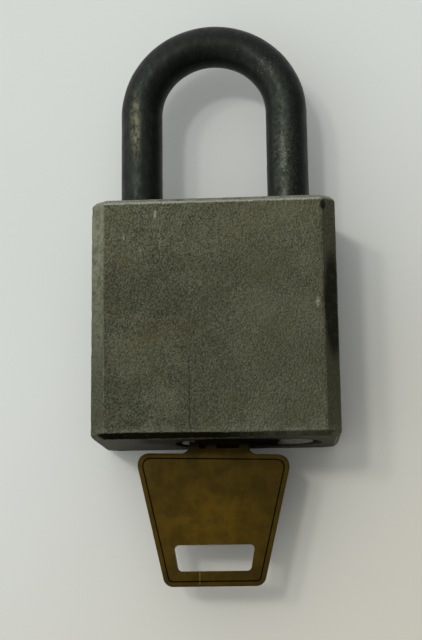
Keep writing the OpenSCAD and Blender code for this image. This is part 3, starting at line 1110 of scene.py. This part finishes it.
def block(name, low, high):
    low, high = Vector(low), Vector(high)
    size = Matrix.Diagonal((*(high - low), 1))
    bm = bmesh.new()
    bmesh.ops.create_cube(bm, size=1, matrix=Matrix.Translation((low + high) / 2) @ size)
    return piece_from(bm, name)


for start, width, low_z in grooves:
    groove = block("groove", (start * mm, key_end - mm, low_z),
                   ((start + width) * mm, blade_end_y + mm, low_z + mm))
    combine(key_piece, groove, sharp=40, slot=dirt_and_shade_slot)
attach(key_piece, "key")
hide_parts("key")
keep_flats_flat(key_piece)
print("cut key:", len(key_piece.data.polygons), "faces")

# %% [markdown]
# ## The key's finish
#
# The brass has gone dark brown and mottled. It is a little lighter in the middle of the bow and darker
# towards its rims. The blade is rubbed clean along its length by the keyway, and the neck is painted near
# black, the shade that the body casts on it. One short light scratch lies near the bow's free end.

# %% Tarnished brass
foot_y = key_end / mm

tarnish = new_material("tarnished brass")
where = place_mm(tarnish)
axes = add(tarnish, "SeparateXYZ", {0: where}).outputs
blotch = speckle(tarnish, where, 0.3, detail=6, roughness=0.6)
fleck = speckle(tarnish, where, 2.2, detail=5, roughness=0.7)
drawn = speckle(tarnish, place_mm(tarnish, (2.5, 0.2, 1)), 1.0, detail=4, roughness=0.6)
clean_brass = blend(tarnish, step(tarnish, drawn, 0.3, 0.7), rgb(84, 66, 24), rgb(122, 98, 44))
# painted shade: the neck is painted near black towards the body, the shade that the body casts
neck_shade = product(tarnish, step(tarnish, axes["Y"], foot_y - 1.1, foot_y + 0.2, 0, 0.9),
               step(tarnish, axes["Y"], foot_y + 2.6, foot_y + 1.0))
scuff = line(tarnish, axes, -4.05, -52.4, half_length=1.6, half_width=0.14)
# lighter in the middle of the bow, darker towards its rims
bow_middle = oval(tarnish, (-1.067, -43, key_high.z / mm), 13, soft=0.2, stretch=(0.75, 1, 1))
colour = blend(tarnish, step(tarnish, blotch, 0.35, 0.65), rgb(49, 37, 4), rgb(62, 46, 5))
dull = blend(tarnish, 0.5, colour, rgb(26, 21, 4))
colour = cover(tarnish, dull, [
    (bow_middle, colour),
    (step(tarnish, fleck, 0.5, 0.75, 0, 0.5), rgb(34, 27, 5)),
    (step(tarnish, axes["Y"], foot_y + 0.6, foot_y + 3.2), clean_brass),
    (neck_shade, rgb(9, 7, 3)),
    (product(tarnish, scuff, 0.28), rgb(130, 112, 66))])
feed(tarnish,
     Base_Color=colour,
     Metallic=0.95,
     Roughness=step(tarnish, blotch, 0.3, 0.7, 0.46, 0.36),
     Normal=raised(tarnish, calc(tarnish, "ADD", fleck, blotch), 0.02 * mm, 0.6))
key_piece.data.materials.append(tarnish)

# %% [markdown]
# ## Dirt and painted shade in the cuts
#
# The engraved border holds dry, black dirt. Where the grooves show outside the lock, the same black is a
# painted shade, the shade at the keyway's mouth. It is the key's second material, which the cuts gave to
# their own faces. Inside the lock the grooves are rubbed clean, so there it turns to dull brass.

# %% Grime
grime_and_shade = new_material("grime_and_shade")
where = place_mm(grime_and_shade)
caked = step(grime_and_shade, speckle(grime_and_shade, where, 3.0, detail=3), 0.35, 0.65)
along = add(grime_and_shade, "SeparateXYZ", {0: where}).outputs["Y"]
rubbed_clean = step(grime_and_shade, along, foot_y - 0.2, foot_y + 1.5)
# dirt in the border; outside the lock the grooves' black is painted shade at the keyway's mouth
dirt_and_shade = blend(grime_and_shade, caked, rgb(8, 6, 3), rgb(20, 16, 7))
feed(grime_and_shade,
     Base_Color=blend(grime_and_shade, rubbed_clean, dirt_and_shade, rgb(66, 51, 19)),
     Metallic=rubbed_clean,
     Specular_IOR_Level=0.0,
     Roughness=0.8)
key_piece.data.materials.append(grime_and_shade)


# %% [markdown]
# ## Brass inside the lock
#
# The inner pieces keep their CAD shape, because it is right and hardly any of it shows. The cylinder, the
# plug with its clip, the chamber cover and the bottom pins get one finish: brass, with a dull grey
# plating on the faces that one can see. Only a patch of each such face keeps its metal. The rest is painted
# black with no shine, the shade that the key and its bow cast there, with some grease.

# %% Plated brass
plated = new_material("plated brass")
where = place_mm(plated)
axes = add(plated, "SeparateXYZ", {0: where}).outputs
turned = speckle(plated, place_mm(plated, (1, 0.2, 1)), 3.0, detail=3)
plating_noise = speckle(plated, where, 0.6, detail=5, roughness=0.6)
ragged_x = calc(plated, "ADD", axes["X"], product(plated, plating_noise, 3))
lobe_face = product(plated, oval(plated, (13.9, 0, mid_z / mm), 6.1, soft=0.9, stretch=(1, 0, 1)),
                    step(plated, ragged_x, 13.8, 16.2))
main_face = product(plated, oval(plated, (0, 0, mid_z / mm), 7.7, soft=0.94, stretch=(1, 0, 1)),
                    step(plated, ragged_x, -2.9, -4.3))
plating = step(plated, axes["Y"], face_y / mm + 0.6, face_y / mm + 0.4)
behind = calc(plated, "SUBTRACT", 1.0, plating)
unblackened = calc(plated, "MAXIMUM", lobe_face, main_face, behind)
brass = blend(plated, step(plated, turned, 0.3, 0.7), rgb(158, 128, 66), rgb(186, 152, 84))
grey = blend(plated, step(plated, plating_noise, 0.35, 0.7), rgb(96, 94, 86), rgb(142, 140, 130))
metal = blend(plated, plating, brass, grey)
# painted shade: the visible faces are painted black outside the metal patches, the key's shade with some
# grease
grease_and_shade_black = blend(plated, plating_noise, rgb(5, 4, 2), rgb(24, 21, 14))
feed(plated,
     Base_Color=blend(plated, unblackened, grease_and_shade_black, metal),
     Metallic=unblackened,
     Specular_IOR_Level=0.0,
     Roughness=step(plated, plating_noise, 0.3, 0.7, 0.22, 0.36),
     Normal=raised(plated, turned, 0.005 * mm, 0.5))

# %% [markdown]
# ## Steel inside the lock
#
# The balls, springs, driver pins, screw, drum and retaining pin are plain bright steel with fine
# tool marks. Each inner CAD node gets one of the two finishes by its name. Its mesh stays untouched.

# %% Bright steel
brass_nodes = ("cylinder_shell", "plug", "chamber_cover", "bottom_pin")
replaced = ("body", "shackle", "key")

bright = new_material("bright steel")
marks = speckle(bright, place_mm(bright, (0.3, 1, 0.3)), 4.0, detail=4, roughness=0.6)
feed(bright,
     Base_Color=blend(bright, step(bright, marks, 0.3, 0.7), rgb(150, 149, 144), rgb(184, 183, 178)),
     Metallic=1.0,
     Roughness=step(bright, marks, 0.3, 0.7, 0.24, 0.36),
     Normal=raised(bright, marks, 0.004 * mm, 0.5))

for name, cad_node in frame["nodes"].items():
    if name not in replaced:
        for place in cad_node.material_slots:
            place.material = plated if name.startswith(brass_nodes) else bright
print("CAD nodes with a finish:", len(frame["nodes"]) - len(replaced))
